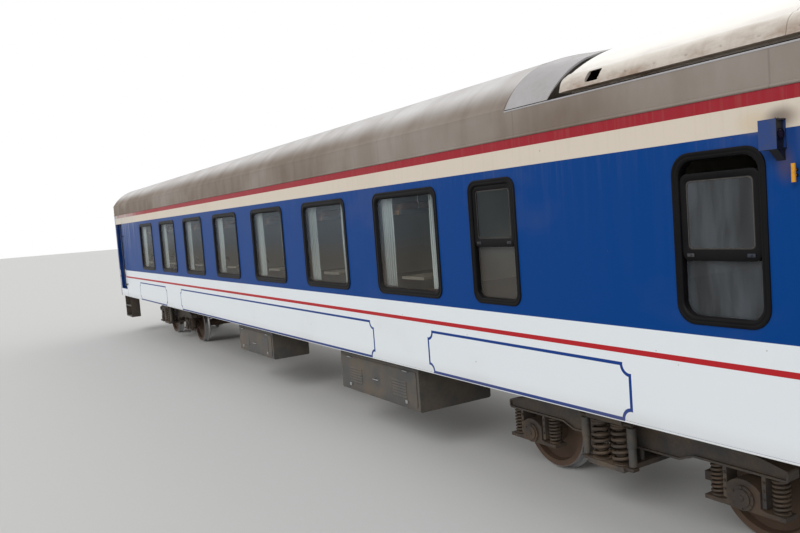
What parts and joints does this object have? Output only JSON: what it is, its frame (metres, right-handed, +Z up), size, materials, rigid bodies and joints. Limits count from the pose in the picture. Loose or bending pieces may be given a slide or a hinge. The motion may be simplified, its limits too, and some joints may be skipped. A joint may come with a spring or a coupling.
{
  "type": "passenger coach",
  "caption": "Metre-gauge sleeping coach: a banded steel body with wide windows, a roof-mounted cooling unit at one end, bogies, couplers, gangways and hinged doors.",
  "frame": {"origin": "on the centre line, midway between the bogies, at the level of the wheel flange tips", "axes": "+X along the coach to the end with the roof unit, +Y to the corridor side, +Z up"},
  "size_m": [20.8, 3.08, 3.8678],
  "materials": {
    "body_paint": "satin enamel in bands",
    "roof_paint": "weathered grey paint",
    "unit_gelcoat": "weathered moulded gelcoat",
    "window_rubber": "black rubber and dark metal",
    "window_glass": "tinted glass",
    "door_paint": "satin enamel",
    "underframe_paint": "dusty black paint",
    "bogie_paint": "dusty black paint",
    "spring_steel": "painted spring steel",
    "cast_steel": "rough casting",
    "wheel_steel": "rolled steel, bright tread",
    "gangway_rubber": "matt folded rubber",
    "floor_board": "floor covering",
    "wall_laminate": "pale laminate",
    "ceiling_panel": "white panel",
    "berth_board": "varnished board",
    "berth_leather": "blue leathercloth",
    "table_top": "laminate top",
    "curtain_cloth": "woven curtain",
    "rail_steel": "dark enamel",
    "handle_yellow": "yellow enamel",
    "tank_paint": "dusty grey paint"
  },
  "bodies": {
    "coach_body": {"air_reservoirs": "tank_paint", "battery_boxes": "tank_paint", "berths": "berth_board", "body_pivots": "underframe_paint", "ceiling": "ceiling_panel", "curtains": "curtain_cloth", "door_portals": "body_paint", "draft_gear": "underframe_paint", "end_wall_far": "body_paint", "end_wall_near": "body_paint", "entrance_steps": "underframe_paint", "equipment_case": "tank_paint", "floor": "floor_board", "gangway_plates": "underframe_paint", "gangways": "gangway_rubber", "handrails": "rail_steel", "interior_walls": "wall_laminate", "lamp_boxes": "body_paint", "lamp_handles": "handle_yellow", "mattresses": "berth_leather", "roof": "roof_paint", "roof_fairings": "roof_paint", "roof_recess": "roof_paint", "roof_unit": "unit_gelcoat", "side_wall_left": "body_paint", "side_wall_right": "body_paint", "tables": "table_top", "underframe": "underframe_paint", "water_tank": "tank_paint", "window_frames": "window_rubber", "window_glass": "window_glass"},
    "bogie_near": {"bogie_frame_near": "bogie_paint", "bogie_bolster_near": "bogie_paint", "bogie_springs_near": "spring_steel", "axleboxes_near": "cast_steel", "brake_gear_near": "cast_steel"},
    "wheelset_near_outer": {"wheelset_near_outer": "wheel_steel"},
    "wheelset_near_inner": {"wheelset_near_inner": "wheel_steel"},
    "entrance_door_near_left": {"entrance_door_near_left": "door_paint", "entrance_glass_near_left": "window_glass"},
    "entrance_door_near_right": {"entrance_door_near_right": "door_paint", "entrance_glass_near_right": "window_glass"},
    "gangway_door_near": {"gangway_door_near": "door_paint", "gangway_glass_near": "window_glass"},
    "coupler_near": {"coupler_near": "cast_steel"},
    "bogie_far": {"bogie_frame_far": "bogie_paint", "bogie_bolster_far": "bogie_paint", "bogie_springs_far": "spring_steel", "axleboxes_far": "cast_steel", "brake_gear_far": "cast_steel"},
    "wheelset_far_outer": {"wheelset_far_outer": "wheel_steel"},
    "wheelset_far_inner": {"wheelset_far_inner": "wheel_steel"},
    "entrance_door_far_left": {"entrance_door_far_left": "door_paint", "entrance_glass_far_left": "window_glass"},
    "entrance_door_far_right": {"entrance_door_far_right": "door_paint", "entrance_glass_far_right": "window_glass"},
    "gangway_door_far": {"gangway_door_far": "door_paint", "gangway_glass_far": "window_glass"},
    "coupler_far": {"coupler_far": "cast_steel"}
  },
  "joints": [
    {"name": "bogie_swivel_near", "type": "hinge", "parent": "coach_body", "child": "bogie_near", "pos_m": [7, 0, 0.978], "axis": [0, 0, 1], "range_deg": [-4, 4]},
    {"name": "wheel_spin_near_outer", "type": "hinge", "parent": "bogie_near", "child": "wheelset_near_outer", "pos_m": [8.1, 0, 0.418], "axis": [0, 1, 0], "continuous": true},
    {"name": "wheel_spin_near_inner", "type": "hinge", "parent": "bogie_near", "child": "wheelset_near_inner", "pos_m": [5.9, 0, 0.418], "axis": [0, 1, 0], "continuous": true},
    {"name": "entrance_door_near_left_hinge", "type": "hinge", "parent": "coach_body", "child": "entrance_door_near_left", "pos_m": [9.192, -1.279, 1.176], "axis": [0, 0, 1], "range_deg": [0, 90]},
    {"name": "entrance_door_near_right_hinge", "type": "hinge", "parent": "coach_body", "child": "entrance_door_near_right", "pos_m": [9.192, 1.279, 1.176], "axis": [0, 0, -1], "range_deg": [0, 90]},
    {"name": "gangway_door_near_hinge", "type": "hinge", "parent": "coach_body", "child": "gangway_door_near", "pos_m": [9.954, 0.358, 1.176], "axis": [0, 0, -1], "range_deg": [0, 90]},
    {"name": "coupler_swing_near", "type": "hinge", "parent": "coach_body", "child": "coupler_near", "pos_m": [9.5, 0, 0.853], "axis": [0, 0, 1], "range_deg": [-8, 8]},
    {"name": "bogie_swivel_far", "type": "hinge", "parent": "coach_body", "child": "bogie_far", "pos_m": [-7, 0, 0.978], "axis": [0, 0, 1], "range_deg": [-4, 4]},
    {"name": "wheel_spin_far_outer", "type": "hinge", "parent": "bogie_far", "child": "wheelset_far_outer", "pos_m": [-8.1, 0, 0.418], "axis": [0, 1, 0], "continuous": true},
    {"name": "wheel_spin_far_inner", "type": "hinge", "parent": "bogie_far", "child": "wheelset_far_inner", "pos_m": [-5.9, 0, 0.418], "axis": [0, 1, 0], "continuous": true},
    {"name": "entrance_door_far_left_hinge", "type": "hinge", "parent": "coach_body", "child": "entrance_door_far_left", "pos_m": [-9.192, -1.279, 1.176], "axis": [0, 0, -1], "range_deg": [0, 90]},
    {"name": "entrance_door_far_right_hinge", "type": "hinge", "parent": "coach_body", "child": "entrance_door_far_right", "pos_m": [-9.192, 1.279, 1.176], "axis": [0, 0, 1], "range_deg": [0, 90]},
    {"name": "gangway_door_far_hinge", "type": "hinge", "parent": "coach_body", "child": "gangway_door_far", "pos_m": [-9.954, 0.358, 1.176], "axis": [0, 0, 1], "range_deg": [0, 90]},
    {"name": "coupler_swing_far", "type": "hinge", "parent": "coach_body", "child": "coupler_far", "pos_m": [-9.5, 0, 0.853], "axis": [0, 0, 1], "range_deg": [-8, 8]}
  ]
}
